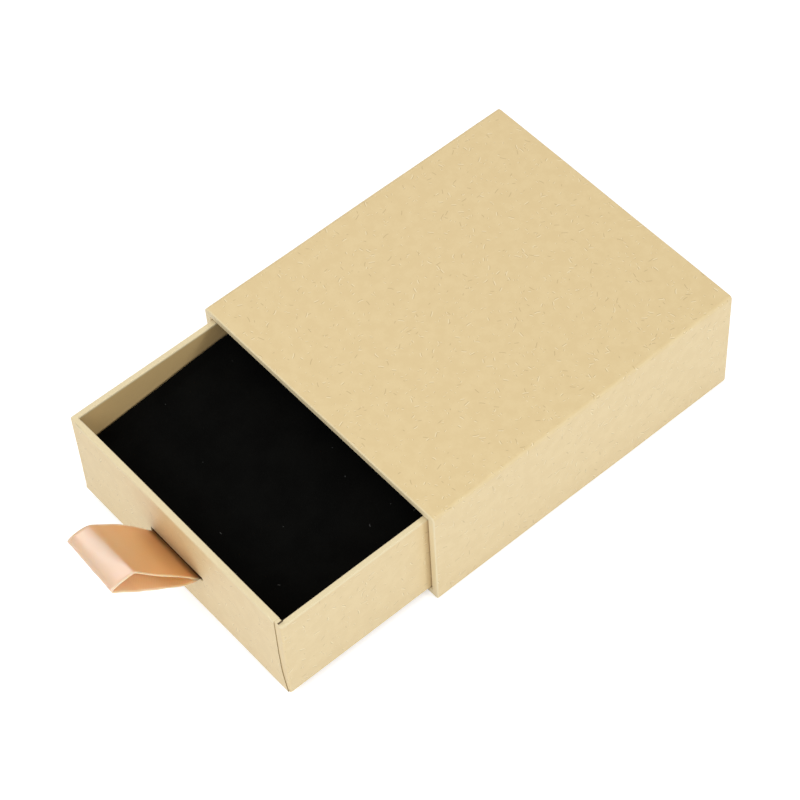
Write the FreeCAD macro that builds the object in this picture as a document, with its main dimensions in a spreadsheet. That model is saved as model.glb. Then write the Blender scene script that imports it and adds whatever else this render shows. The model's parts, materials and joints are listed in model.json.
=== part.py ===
"""Sliding drawer gift box: a paper-covered greyboard sleeve, closed at the back, and a tray that
slides out of its mouth on a folded satin ribbon, with a velvet pad for small jewellery.

Frame, in millimetres: the origin is the centre of the sleeve's underside, +Z up, and the drawer
comes out along -Y. The drawer's pieces are drawn closed and placed by one size, drawer_out.
"""
import FreeCAD, Part
import os
import re
import math
import Sketcher
from FreeCAD import Vector

doc = FreeCAD.newDocument("DrawerGiftBox")

# ---------------------------------------------------------------------------------------------
# Driving dimensions
# ---------------------------------------------------------------------------------------------
SIZES = [
    ("sleeve_width", "70", "outside, left to right"),
    ("sleeve_length", "80", "outside, mouth to back"),
    ("sleeve_height", "28", "outside, base sheet to top"),
    ("sleeve_board", "1.5", "greyboard of the sleeve"),
    ("sleeve_round", "0.6", "rounding of the long board edges, over their tape"),
    ("sleeve_turn_in", "12", "covering paper folded in at the mouth"),
    ("sheet_inset", "0.8", "base and back sheets stop short of the edges"),
    ("paper", "0.15", "kraft covering and lining paper"),
    ("paper_fold", "0.3", "outside radius of paper folded over an edge"),
    ("tape", "0.1", "gummed paper tape, pressed flush into the board"),
    ("tape_leg", "8", "tape on each side of a long sleeve edge"),
    ("stay_leg", "9", "tape on each side of a drawer corner"),
    ("drawer_out", "36", "how far the drawer stands open"),
    ("side_gap", "0.3", "drawer to sleeve, each side"),
    ("floor_gap", "0.05", "drawer underside to sleeve floor"),
    ("roof_gap", "0.3", "drawer rim to sleeve ceiling"),
    ("end_gap", "0.35", "closed drawer to the sleeve's back lining"),
    ("drawer_board", "1", "greyboard of the drawer"),
    ("drawer_round", "0.35", "rounding of the drawer's upright corners, over their stays"),
    ("drawer_turn_in", "10", "covering paper folded in over the rim"),
    ("flap_inset", "1.2", "end flaps stop short of the upright corners"),
    ("ribbon_width", "15", "satin ribbon"),
    ("ribbon_thick", "0.3", "satin ribbon"),
    ("ribbon_space", "0.1", "between the two layers where they lie together"),
    ("ribbon_turn", "0.15", "inside radius where the lower layer turns down"),
    ("slot_side", "0.5", "slot longer than the ribbon's width, each end"),
    ("slot_lift", "11.6", "middle of the slot above the drawer's underside"),
    ("pull_shift", "-0.6", "middle of the ribbon from the middle of the drawer"),
    ("tail_length", "8.5", "glued ribbon tails below the slot"),
    ("heel_out", "2.65", "lower layer starts to rise, out from the front"),
    ("heel_bend", "3.5", "radius there"),
    ("tip_out", "19.7", "outer fold of the loop, out from the front"),
    ("tip_up", "15.25", "outer fold above the slot"),
    ("tip_bend", "0.5", "radius there"),
    ("crease_out", "13.9", "upper crease of the loop, out from the front"),
    ("crease_up", "16.25", "upper crease above the slot"),
    ("crease_bend", "1", "radius there"),
    ("lift_out", "0.35", "upper layer starts to rise, out from the front"),
    ("lift_bend", "1", "radius there"),
    ("anchor_width", "21", "tape over the ribbon's tails"),
    ("anchor_height", "6", "tape over the ribbon's tails"),
    ("pad_height", "18", "top of the pad above the drawer's floor"),
    ("pad_dip", "3.5", "the pad's front edge lies this much lower"),
    ("pad_dip_length", "33", "length of the sloping front of the pad"),
    ("pad_ease", "60", "radius where the slope levels off"),
    ("pad_round", "1", "rounding of the pad's top edges"),
    ("pad_gap", "0.1", "pad to drawer walls"),
    ("pad_front_gap", "1", "room for the ribbon's tails in front of the pad"),
    ("velvet", "0.5", "velvet with its backing"),
]
sheet = doc.addObject("Spreadsheet::Sheet", "Sizes")
for row, (alias, value, note) in enumerate(SIZES, start=1):
    sheet.set(f"A{row}", alias)
    sheet.set(f"B{row}", value)
    sheet.set(f"C{row}", note)
    sheet.setAlias(f"B{row}", alias)
doc.recompute()

ALIASES = {alias for alias, value, note in SIZES}


def formula(text):
    """The expression with each size's name written as a reference to its cell."""
    return re.sub(r"[a-z_]+", lambda word: "Sizes." + word[0] if word[0] in ALIASES else word[0], text)


def size(text):
    """The expression's value in millimetres."""
    return float(sheet.evalExpression(formula(text)))


# Sleeve: the paper's outside, the boards' outside, the boards' inside and the mouth.
MOUTH = "(-sleeve_length / 2)"
BACK = "(sleeve_length / 2)"
WRAP_X = "(sleeve_width / 2)"
WRAP_Z = ("paper", "sleeve_height")
WRAP_BACK = f"({BACK} - paper)"
SHELL_X = f"({WRAP_X} - paper)"
SHELL_LOW = "(2 * paper)"
SHELL_HIGH = "(sleeve_height - paper)"
SHELL_FRONT = f"({MOUTH} + paper)"
SHELL_BACK = f"({WRAP_BACK} - paper)"
INNER_X = f"({SHELL_X} - sleeve_board)"
INNER_LOW = f"({SHELL_LOW} + sleeve_board)"
INNER_HIGH = f"({SHELL_HIGH} - sleeve_board)"
INNER_BACK = f"({SHELL_BACK} - sleeve_board)"
MOUTH_X = f"({INNER_X} - paper)"
MOUTH_LOW = f"({INNER_LOW} + paper)"
MOUTH_HIGH = f"({INNER_HIGH} - paper)"
TURN_IN_END = f"({MOUTH} + sleeve_turn_in)"
LINING_BACK = f"({INNER_BACK} - paper)"

# Drawer, closed: the paper's outside, the boards' outside, the boards' inside and the well.
TRAY_X = f"({MOUTH_X} - side_gap)"
TRAY_LOW = f"({MOUTH_LOW} + floor_gap)"
TRAY_RIM = f"({MOUTH_HIGH} - roof_gap)"
TRAY_FRONT = MOUTH
TRAY_BACK = f"({LINING_BACK} - end_gap)"
SKIN_FRONT = f"({TRAY_FRONT} + paper)"
SKIN_BACK = f"({TRAY_BACK} - paper)"
BOX_X = f"({TRAY_X} - paper)"
BOX_FRONT = f"({SKIN_FRONT} + paper)"
BOX_BACK = f"({SKIN_BACK} - paper)"
BOX_LOW = f"({TRAY_LOW} + paper)"
BOX_HIGH = f"({TRAY_RIM} - paper)"
WALL_LOW = f"({BOX_LOW} + drawer_board)"
WALL_X = f"({BOX_X} - drawer_board)"
WALL_FRONT = f"({BOX_FRONT} + drawer_board)"
WALL_BACK = f"({BOX_BACK} - drawer_board)"
WELL_X = f"({WALL_X} - paper)"
WELL_FRONT = f"({WALL_FRONT} + paper)"
WELL_BACK = f"({WALL_BACK} - paper)"

# Ribbon: two layers through one slot, and its tails against the inside of the front board.
SLOT_Z = f"({TRAY_LOW} + slot_lift)"
SLOT_HALF_LENGTH = "(ribbon_width / 2 + slot_side)"
SLOT_HALF_HEIGHT = "(ribbon_thick + ribbon_space / 2 + ribbon_turn)"
LAYER_PITCH = "(ribbon_thick + ribbon_space)"
INNER_TAIL = f"({WALL_FRONT} + ribbon_thick / 2)"
OUTER_TAIL = f"({INNER_TAIL} + {LAYER_PITCH})"
TAIL_END = f"({SLOT_Z} - tail_length)"

FRAME = {"XY": "XY_Plane", "XZ": "XZ_Plane", "YZ": "YZ_Plane"}


# ---------------------------------------------------------------------------------------------
# Sketches and features
# ---------------------------------------------------------------------------------------------
def new_body(name, in_drawer=False):
    body = doc.addObject("PartDesign::Body", name)
    body.Label = name
    if in_drawer:
        body.setExpression("Placement.Base.y", formula("-drawer_out"))
    return body


def new_sketch(body, name, plane, offset):
    """A sketch on one of the body's own planes, moved along the plane's normal."""
    sketch = body.newObject("Sketcher::SketchObject", name)
    base = [part for part in body.Origin.OriginFeatures if part.Role == FRAME[plane]][0]
    sketch.AttachmentSupport = [(base, "")]
    sketch.MapMode = "FlatFace"
    sketch.setExpression("AttachmentOffset.Base.z", formula(offset))
    return sketch


def pin_point(sketch, item, end, corner):
    """Dimension a point from the sketch's origin by its corner's two expressions."""
    for kind, text in zip(("DistanceX", "DistanceY"), corner):
        index = sketch.addConstraint(Sketcher.Constraint(kind, -1, 1, item, end, size(text)))
        sketch.setExpression(f"Constraints[{index}]", formula(text))


def add_wire(sketch, corners, closed=True):
    """Straight runs from corner to corner; a corner with a third value is an arc of that radius."""
    count = len(corners)
    spots = [Vector(size(corner[0]), size(corner[1]), 0) for corner in corners]
    starts = list(spots)
    ends = list(spots)
    arcs = {}
    for i, corner in enumerate(corners):
        if len(corner) < 3:
            continue
        radius = size(corner[2])
        to_last = (spots[i - 1] - spots[i]).normalize()
        to_next = (spots[(i + 1) % count] - spots[i]).normalize()
        half = to_last.getAngle(to_next) / 2
        ends[i] = spots[i] + to_last * (radius / math.tan(half))
        starts[i] = spots[i] + to_next * (radius / math.tan(half))
        centre = spots[i] + (to_last + to_next).normalize() * (radius / math.sin(half))
        arcs[i] = (centre, radius, to_last.cross(to_next).z < 0)

    runs = count if closed else count - 1
    lines = []
    for i in range(runs):
        run = Part.LineSegment(starts[i], ends[(i + 1) % count])
        lines.append(sketch.addGeometry(run, False))
    for i in range(count):
        last_line = lines[i - 1] if closed or i > 0 else None
        next_line = lines[i] if i < runs else None
        if i not in arcs:
            if last_line is not None and next_line is not None:
                sketch.addConstraint(Sketcher.Constraint("Coincident", last_line, 2, next_line, 1))
            if next_line is not None:
                pin_point(sketch, next_line, 1, corners[i])
            else:
                pin_point(sketch, last_line, 2, corners[i])
            continue
        centre, radius, left_turn = arcs[i]
        first, second = (ends[i], starts[i]) if left_turn else (starts[i], ends[i])
        angles = [math.atan2(spot.y - centre.y, spot.x - centre.x) for spot in (first, second)]
        circle = Part.Circle(centre, Vector(0, 0, 1), radius)
        arc = sketch.addGeometry(Part.ArcOfCircle(circle, angles[0], angles[1]), False)
        point = sketch.addGeometry(Part.Point(spots[i]), True)
        sketch.addConstraint(Sketcher.Constraint("PointOnObject", point, 1, last_line))
        sketch.addConstraint(Sketcher.Constraint("PointOnObject", point, 1, next_line))
        arc_first, arc_second = (1, 2) if left_turn else (2, 1)
        sketch.addConstraint(Sketcher.Constraint("Tangent", last_line, 2, arc, arc_first))
        sketch.addConstraint(Sketcher.Constraint("Tangent", arc, arc_second, next_line, 1))
        index = sketch.addConstraint(Sketcher.Constraint("Radius", arc, radius))
        sketch.setExpression(f"Constraints[{index}]", formula(corners[i][2]))
        pin_point(sketch, point, 1, corners[i])


def rectangle(half_x, low, high, radius=None):
    """Corners of a rectangle centred on the sketch's vertical axis."""
    ends = [("-" + half_x, low), (half_x, low), (half_x, high), ("-" + half_x, high)]
    return [end + (radius,) for end in ends] if radius else ends


def pad(body, name, plane, start, length, *wires, back=False):
    """Extrude closed wires from start; back is against the plane's normal."""
    sketch = new_sketch(body, name + "_sketch", plane, start)
    for corners in wires:
        add_wire(sketch, corners)
    feature = body.newObject("PartDesign::Pad", name)
    feature.Profile = sketch
    feature.Reversed = back
    feature.setExpression("Length", formula(length))
    return feature


def along_y(body, name, start, end, *wires):
    """Extrude wires drawn as (x, z) from y = start to y = end: the XZ plane faces -Y."""
    return pad(body, name, "XZ", f"-({start})", f"{end} - {start}", *wires, back=True)


def along_z(body, name, start, end, *wires):
    """Extrude wires drawn as (x, y) from z = start to z = end."""
    return pad(body, name, "XY", start, f"{end} - {start}", *wires)


def soften(body, name, wanted, radius):
    """Fillet the edges of the body's last feature whose end points all pass the test."""
    doc.recompute()
    tip = body.Tip
    edges = []
    for number, edge in enumerate(tip.Shape.Edges, start=1):
        if all(wanted(vertex.Point) for vertex in edge.Vertexes):
            edges.append(f"Edge{number}")
    feature = body.newObject("PartDesign::Fillet", name)
    feature.Base = (tip, edges)
    feature.setExpression("Radius", formula(radius))
    return feature


def near(value, text):
    return abs(value - size(text)) < 1e-4


# ---------------------------------------------------------------------------------------------
# Sleeve boards: top and bottom run over the sides, and the back is set in between them
# ---------------------------------------------------------------------------------------------
TAPED_ROUND = "(sleeve_round - tape)"


def sleeve_flat_board(name, outside, inward):
    """Top or bottom board; its long edges are pressed in by the tape's thickness."""
    taped = f"({outside} + {inward} * tape)"
    inside = f"({outside} + {inward} * sleeve_board)"
    edge_x = f"({SHELL_X} - tape)"
    leg_x = f"({SHELL_X} - tape_leg)"
    outline = [
        ("-" + edge_x, inside), (edge_x, inside),
        (edge_x, taped, TAPED_ROUND), (leg_x, taped), (leg_x, outside),
        ("-" + leg_x, outside), ("-" + leg_x, taped), ("-" + edge_x, taped, TAPED_ROUND),
    ]
    body = new_body(name)
    along_y(body, name + "_pad", SHELL_FRONT, SHELL_BACK, outline)
    return body


def sleeve_side_board(name, side):
    """Left or right board, standing between the top and bottom boards."""
    outside = f"({side} * {SHELL_X})"
    taped = f"({side} * ({SHELL_X} - tape))"
    inside = f"({side} * {INNER_X})"
    leg_low = f"({SHELL_LOW} + tape_leg)"
    leg_high = f"({SHELL_HIGH} - tape_leg)"
    outline = [
        (inside, INNER_LOW), (inside, INNER_HIGH),
        (taped, INNER_HIGH), (taped, leg_high), (outside, leg_high),
        (outside, leg_low), (taped, leg_low), (taped, INNER_LOW),
    ]
    body = new_body(name)
    along_y(body, name + "_pad", SHELL_FRONT, SHELL_BACK, outline)
    return body


def sleeve_tape(name, side, outside, inward):
    """Gummed tape folded round one long edge of the sleeve's boards."""
    corner = f"({side} * {SHELL_X})"
    leg = f"({side} * ({SHELL_X} - tape_leg))"
    under = f"({side} * ({SHELL_X} - tape))"
    taped = f"({outside} + {inward} * tape)"
    leg_end = f"({outside} + {inward} * tape_leg)"
    outline = [
        (corner, outside, "sleeve_round"), (leg, outside), (leg, taped),
        (under, taped, TAPED_ROUND), (under, leg_end), (corner, leg_end),
    ]
    body = new_body(name)
    along_y(body, name + "_pad", SHELL_FRONT, SHELL_BACK, outline)
    return body


def sleeve_back_board():
    body = new_body("sleeve_back_board")
    along_y(body, "back_pad", INNER_BACK, SHELL_BACK, rectangle(INNER_X, INNER_LOW, INNER_HIGH))
    return body


# ---------------------------------------------------------------------------------------------
# Sleeve papers
# ---------------------------------------------------------------------------------------------
MOUTH_OPENING = rectangle(MOUTH_X, MOUTH_LOW, MOUTH_HIGH)


def sleeve_wrap():
    """Covering paper: round the four walls, closed over the back, and turned in at the mouth."""
    outside = rectangle(WRAP_X, WRAP_Z[0], WRAP_Z[1], "(sleeve_round + paper)")
    shell = rectangle(SHELL_X, SHELL_LOW, SHELL_HIGH, "sleeve_round")
    body = new_body("sleeve_wrap")
    along_y(body, "wrap_walls", SHELL_FRONT, SHELL_BACK, outside, shell)
    along_y(body, "wrap_back", SHELL_BACK, WRAP_BACK, outside)
    along_y(body, "wrap_mouth", MOUTH, SHELL_FRONT, outside, MOUTH_OPENING)
    boards_inside = rectangle(INNER_X, INNER_LOW, INNER_HIGH)
    along_y(body, "wrap_turn_in", SHELL_FRONT, TURN_IN_END, boards_inside, MOUTH_OPENING)
    soften(body, "mouth_fold", lambda p: near(p.y, MOUTH), "paper_fold")
    soften(body, "back_fold", lambda p: near(p.y, WRAP_BACK), "paper_fold")
    return body


def sleeve_base_sheet():
    """Paper pasted over the underside, which the box stands on."""
    body = new_body("sleeve_base_sheet")
    outline = rectangle(f"({WRAP_X} - sheet_inset)", f"({MOUTH} + sheet_inset)", f"({BACK} - sheet_inset)")
    along_z(body, "base_pad", "0 * paper", "paper", outline)
    return body


def sleeve_back_sheet():
    """Paper pasted over the folds at the back."""
    body = new_body("sleeve_back_sheet")
    low = f"({WRAP_Z[0]} + sheet_inset)"
    high = f"({WRAP_Z[1]} - sheet_inset)"
    along_y(body, "back_sheet_pad", WRAP_BACK, BACK, rectangle(f"({WRAP_X} - sheet_inset)", low, high))
    return body


def sleeve_lining():
    """Lining paper: the four inside walls from the turn-in to the back, and the back itself."""
    body = new_body("sleeve_lining")
    boards_inside = rectangle(INNER_X, INNER_LOW, INNER_HIGH)
    along_y(body, "lining_walls", TURN_IN_END, LINING_BACK, boards_inside, MOUTH_OPENING)
    along_y(body, "lining_back", LINING_BACK, INNER_BACK, boards_inside)
    return body


# ---------------------------------------------------------------------------------------------
# Drawer boards and corner stays
# ---------------------------------------------------------------------------------------------
STAYED_ROUND = "(drawer_round - tape)"


def drawer_bottom_board():
    body = new_body("drawer_bottom_board", in_drawer=True)
    outline = rectangle(BOX_X, BOX_FRONT, BOX_BACK, "drawer_round")
    along_z(body, "bottom_pad", BOX_LOW, WALL_LOW, outline)
    return body


def drawer_side_board(name, side):
    """Side wall, the full length of the drawer; its ends are pressed in by the corner stays."""
    outside = f"({side} * {BOX_X})"
    stayed = f"({side} * ({BOX_X} - tape))"
    inside = f"({side} * {WALL_X})"
    front, back = f"({BOX_FRONT} + tape)", f"({BOX_BACK} - tape)"
    leg_front, leg_back = f"({BOX_FRONT} + stay_leg)", f"({BOX_BACK} - stay_leg)"
    outline = [
        (inside, front), (inside, back),
        (stayed, back, STAYED_ROUND), (stayed, leg_back), (outside, leg_back),
        (outside, leg_front), (stayed, leg_front), (stayed, front, STAYED_ROUND),
    ]
    body = new_body(name, in_drawer=True)
    along_z(body, name + "_pad", WALL_LOW, BOX_HIGH, outline)
    return body


def drawer_end_board(name, outside, inward):
    """Front or back wall, set between the side walls."""
    stayed = f"({outside} + {inward} * tape)"
    inside = f"({outside} + {inward} * drawer_board)"
    leg = f"({BOX_X} - stay_leg)"
    outline = [
        ("-" + WALL_X, inside), ("-" + WALL_X, stayed), ("-" + leg, stayed), ("-" + leg, outside),
        (leg, outside), (leg, stayed), (WALL_X, stayed), (WALL_X, inside),
    ]
    body = new_body(name, in_drawer=True)
    along_z(body, name + "_pad", WALL_LOW, BOX_HIGH, outline)
    return body


def cut_ribbon_slot(body, start, depth):
    """The slot for the ribbon, cut along +Y from start."""
    left = f"(pull_shift - {SLOT_HALF_LENGTH})"
    right = f"(pull_shift + {SLOT_HALF_LENGTH})"
    low = f"({SLOT_Z} - {SLOT_HALF_HEIGHT})"
    high = f"({SLOT_Z} + {SLOT_HALF_HEIGHT})"
    doc.recompute()
    before = body.Tip.Shape.Volume
    sketch = new_sketch(body, body.Name + "_slot_sketch", "XZ", f"-({start})")
    add_wire(sketch, [(left, low), (right, low), (right, high), (left, high)])
    feature = body.newObject("PartDesign::Pocket", body.Name + "_slot")
    feature.Profile = sketch
    feature.setExpression("Length", formula(depth))
    doc.recompute()
    wanted = size(f"4 * {SLOT_HALF_LENGTH} * {SLOT_HALF_HEIGHT} * ({depth})")
    if abs(before - feature.Shape.Volume - wanted) > 0.01 * wanted:
        raise RuntimeError(f"{body.Label}: the slot cut {before - feature.Shape.Volume}, not {wanted}")
    return feature


def corner_stay(name, side, outside, inward):
    """Gummed tape folded round one upright corner of the drawer's boards."""
    corner = f"({side} * {BOX_X})"
    under = f"({side} * ({BOX_X} - tape))"
    leg = f"({side} * ({BOX_X} - stay_leg))"
    stayed = f"({outside} + {inward} * tape)"
    leg_end = f"({outside} + {inward} * stay_leg)"
    outline = [
        (corner, outside, "drawer_round"), (corner, leg_end), (under, leg_end),
        (under, stayed, STAYED_ROUND), (leg, stayed), (leg, outside),
    ]
    body = new_body(name, in_drawer=True)
    along_z(body, name + "_pad", WALL_LOW, BOX_HIGH, outline)
    return body


# ---------------------------------------------------------------------------------------------
# Drawer paper: one sheet under, up the four walls, over the rim and in. Its end flaps lie over the
# tabs of the side flaps and stop short of the upright corners, which leaves a fine step there.
# ---------------------------------------------------------------------------------------------
def drawer_wrap():
    skin = rectangle(TRAY_X, SKIN_FRONT, SKIN_BACK, "(drawer_round + paper)")
    boards = rectangle(BOX_X, BOX_FRONT, BOX_BACK, "drawer_round")
    boards_inside = rectangle(WALL_X, WALL_FRONT, WALL_BACK)
    well = rectangle(WELL_X, WELL_FRONT, WELL_BACK)
    body = new_body("drawer_wrap", in_drawer=True)
    along_z(body, "wrap_base", TRAY_LOW, BOX_LOW, skin)
    along_z(body, "wrap_skin", BOX_LOW, BOX_HIGH, skin, boards)
    along_z(body, "wrap_rim", BOX_HIGH, TRAY_RIM, skin, well)
    along_z(body, "rim_turn_in", f"({TRAY_RIM} - drawer_turn_in)", BOX_HIGH, boards_inside, well)
    soften(body, "rim_fold", lambda p: near(p.z, TRAY_RIM), "paper_fold")
    soften(body, "base_fold", lambda p: near(p.z, TRAY_LOW), "paper_fold")
    flap = rectangle(f"({TRAY_X} - flap_inset)", f"({TRAY_LOW} + paper_fold)", f"({TRAY_RIM} - paper_fold)")
    along_y(body, "front_flap", TRAY_FRONT, SKIN_FRONT, flap)
    along_y(body, "back_flap", SKIN_BACK, TRAY_BACK, flap)
    cut_ribbon_slot(body, TRAY_FRONT, "2 * paper")
    return body


# ---------------------------------------------------------------------------------------------
# Pad: a foam block with its front half sloping down, in a velvet cover that is open underneath
# ---------------------------------------------------------------------------------------------
def pad_block(name, inset):
    """The pad's outside, or with an inset the space inside its cover."""
    front = f"({WALL_FRONT} + pad_front_gap + {inset})"
    back = f"({WELL_BACK} - pad_gap - {inset})"
    top = f"({WALL_LOW} + pad_height - {inset})"
    half = f"({WELL_X} - pad_gap - {inset})"
    slope_end = f"({front} - {inset} + pad_dip_length)"
    profile = [
        (front, WALL_LOW), (front, f"({top} - pad_dip)"),
        (slope_end, top, "pad_ease"), (back, top), (back, WALL_LOW),
    ]
    block = new_body(name, in_drawer=True)
    pad(block, name + "_pad", "YZ", "-" + half, f"2 * {half}", profile)
    lowest_top = size(f"{top} - pad_dip") - 1e-3
    soften(block, name + "_round", lambda p: p.z > lowest_top, f"pad_round - {inset}")
    return block


def velvet_cover(foam):
    """The cover is what the block's outside leaves round the foam."""
    cover = doc.addObject("Part::Cut", "velvet_cover")
    cover.Base = pad_block("cover_outside", "0 * velvet")
    cover.Tool = foam
    cover.Label = "velvet_cover"
    return cover


# ---------------------------------------------------------------------------------------------
# Ribbon pull: one strip, out through the slot, folded back on itself and in again
# ---------------------------------------------------------------------------------------------
def ribbon_pull():
    inner_turn = "(ribbon_thick / 2 + ribbon_turn)"
    outer_turn = f"({inner_turn} + {LAYER_PITCH})"
    lower_layer = f"({SLOT_Z} - {LAYER_PITCH} / 2)"
    upper_layer = f"({SLOT_Z} + {LAYER_PITCH} / 2)"
    path = [
        (INNER_TAIL, TAIL_END),
        (INNER_TAIL, lower_layer, inner_turn),
        (f"({TRAY_FRONT} - heel_out)", lower_layer, "heel_bend"),
        (f"({TRAY_FRONT} - tip_out)", f"({SLOT_Z} + tip_up)", "tip_bend"),
        (f"({TRAY_FRONT} - crease_out)", f"({SLOT_Z} + crease_up)", "crease_bend"),
        (f"({TRAY_FRONT} - lift_out)", upper_layer, "lift_bend"),
        (OUTER_TAIL, upper_layer, outer_turn),
        (OUTER_TAIL, TAIL_END),
    ]
    left, right = "(pull_shift - ribbon_width / 2)", "(pull_shift + ribbon_width / 2)"
    near_face, far_face = WALL_FRONT, f"({WALL_FRONT} + ribbon_thick)"
    body = new_body("ribbon_pull", in_drawer=True)
    section = new_sketch(body, "ribbon_section", "XY", TAIL_END)
    add_wire(section, [(left, near_face), (right, near_face), (right, far_face), (left, far_face)])
    spine = new_sketch(body, "ribbon_path", "YZ", "pull_shift")
    add_wire(spine, path, closed=False)
    strip = body.newObject("PartDesign::AdditivePipe", "ribbon_strip")
    strip.Profile = section
    strip.Spine = spine
    doc.recompute()
    print(f"ribbon length {spine.Shape.Length:.1f} mm")
    return body


def ribbon_tape():
    """Tape that holds the ribbon's tails to the inside of the drawer's front."""
    body = new_body("ribbon_tape", in_drawer=True)
    left, right = "(pull_shift - anchor_width / 2)", "(pull_shift + anchor_width / 2)"
    low, high = f"({TAIL_END} - tape)", f"({TAIL_END} + anchor_height)"
    face = f"({OUTER_TAIL} + ribbon_thick / 2)"
    along_y(body, "anchor_pad", face, f"({face} + tape)", [(left, low), (right, low), (right, high), (left, high)])
    return body


# ---------------------------------------------------------------------------------------------
# The box
# ---------------------------------------------------------------------------------------------
pieces = [
    sleeve_flat_board("sleeve_top_board", SHELL_HIGH, "-1"),
    sleeve_flat_board("sleeve_bottom_board", SHELL_LOW, "1"),
    sleeve_side_board("sleeve_left_board", "-1"),
    sleeve_side_board("sleeve_right_board", "1"),
    sleeve_back_board(),
    sleeve_wrap(),
    sleeve_base_sheet(),
    sleeve_back_sheet(),
    sleeve_lining(),
    drawer_bottom_board(),
    drawer_side_board("drawer_left_board", "-1"),
    drawer_side_board("drawer_right_board", "1"),
]
for level, outside, inward in (("top", SHELL_HIGH, "-1"), ("bottom", SHELL_LOW, "1")):
    for hand, side in (("left", "-1"), ("right", "1")):
        pieces.append(sleeve_tape(f"sleeve_{level}_{hand}_tape", side, outside, inward))
for end, outside, inward in (("front", BOX_FRONT, "1"), ("back", BOX_BACK, "-1")):
    pieces.append(drawer_end_board(f"drawer_{end}_board", outside, inward))
    for hand, side in (("left", "-1"), ("right", "1")):
        pieces.append(corner_stay(f"drawer_{end}_{hand}_stay", side, outside, inward))
front_board = [piece for piece in pieces if piece.Label == "drawer_front_board"][0]
cut_ribbon_slot(front_board, BOX_FRONT, "drawer_board")
foam_pad = pad_block("foam_pad", "velvet")
pieces += [drawer_wrap(), foam_pad, velvet_cover(foam_pad), ribbon_pull(), ribbon_tape()]

doc.recompute()
for item in doc.Objects:
    if "Invalid" in item.State or "Error" in item.State:
        raise RuntimeError(f"{item.Label} failed: {item.State}")
for piece in pieces:
    if piece.Shape.isNull() or not piece.Shape.isValid():
        raise RuntimeError(f"{piece.Label} has no valid shape")

os.makedirs("parts", exist_ok=True)
for piece in pieces:
    piece.Shape.exportStep(f"parts/{piece.Label}.step")
    box = piece.Shape.BoundBox
    print(f"{piece.Label:26s} {piece.Shape.Volume:10.1f} mm3  {len(piece.Shape.Solids)} solid  "
          f"x {box.XMin:.2f} {box.XMax:.2f}  y {box.YMin:.2f} {box.YMax:.2f}  z {box.ZMin:.2f} {box.ZMax:.2f}")
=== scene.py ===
# %% [markdown]
# # A drawer gift box, dressed
# The box is two things: a sleeve, and a drawer that slides in it. Both are greyboard shells covered
# with one kind of kraft paper. The boards, tapes and foam are already right in the CAD frame, so
# they stay and only get a finish. What the eye meets is made again here with more care: the two
# covering papers with their soft folds, the velvet pad, and the folded satin ribbon.
# Everything is in metres, in the frame of the CAD model, and sizes are read from it where they
# can be. Three tolerances are used to tell whether two places are the same.

# %% The frame
import json
import math

import bmesh
import bpy
from mathutils import Matrix, Vector, noise


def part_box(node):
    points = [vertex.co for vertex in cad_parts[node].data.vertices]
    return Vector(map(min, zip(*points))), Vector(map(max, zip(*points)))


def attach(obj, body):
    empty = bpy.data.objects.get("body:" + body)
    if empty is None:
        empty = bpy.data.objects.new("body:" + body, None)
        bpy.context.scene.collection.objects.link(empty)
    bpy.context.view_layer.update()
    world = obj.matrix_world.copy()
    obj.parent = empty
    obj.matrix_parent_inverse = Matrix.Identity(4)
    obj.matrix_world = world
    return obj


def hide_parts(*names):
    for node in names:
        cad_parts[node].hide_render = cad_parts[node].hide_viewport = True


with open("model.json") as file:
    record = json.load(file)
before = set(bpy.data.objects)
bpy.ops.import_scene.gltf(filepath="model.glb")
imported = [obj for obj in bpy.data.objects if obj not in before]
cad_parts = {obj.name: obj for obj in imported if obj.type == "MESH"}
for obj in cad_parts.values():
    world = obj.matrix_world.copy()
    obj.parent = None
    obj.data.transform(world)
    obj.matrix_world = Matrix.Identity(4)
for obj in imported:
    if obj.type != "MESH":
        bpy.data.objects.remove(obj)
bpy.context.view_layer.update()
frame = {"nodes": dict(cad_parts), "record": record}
MM = 0.001
MM_PER_METRE = 1000
X, Y, Z = range(3)
HAIR, NEAR, ABOUT = 1e-7, 1e-6, 1e-5
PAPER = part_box("sleeve_base_sheet")[1].z

# %% [markdown]
# ## The camera
# A product shot of a small box is taken from well above and from one side, with a long lens, so
# that the far edges stay nearly parallel. The camera is set by its azimuth, its elevation and a
# slight roll, at a distance from a point that it aims at. Those are easier to read than a rotation.
# A small shift to the side and up then centres the box in the picture.

# %% Camera
CAMERA_AZIMUTH = math.radians(52.43)
CAMERA_ELEVATION = math.radians(53.6)
CAMERA_ROLL = -0.0711
CAMERA_DISTANCE = 562.7 * MM
CAMERA_LENS = 122.57
AIM = Vector((0, -19, 0)) * MM
AIM_SHIFT_RIGHT = -0.46 * MM
AIM_SHIFT_UP = 7.25 * MM


def camera_axes(azimuth, elevation, roll):
    """The camera's right, up and backward directions."""
    level = math.cos(elevation)
    back = Vector((math.sin(azimuth) * level, -math.cos(azimuth) * level, math.sin(elevation)))
    right = Vector((math.cos(azimuth), math.sin(azimuth), 0))
    up = back.cross(right)
    turn = Matrix.Rotation(roll, 3, back)
    return turn @ right, turn @ up, back


right, up, back = camera_axes(CAMERA_AZIMUTH, CAMERA_ELEVATION, CAMERA_ROLL)
place = AIM + right * AIM_SHIFT_RIGHT + up * AIM_SHIFT_UP + back * CAMERA_DISTANCE
camera_data = bpy.data.cameras.new("camera")
camera_data.lens = CAMERA_LENS
camera_data.clip_start = 10 * MM
camera = bpy.data.objects.new("camera", camera_data)
bpy.context.collection.objects.link(camera)
axes = Matrix((right, up, back)).transposed().to_4x4()
camera.matrix_world = Matrix.Translation(place) @ axes
bpy.context.scene.camera = camera
print("camera at", [round(value / MM, 1) for value in place], "mm")

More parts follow.
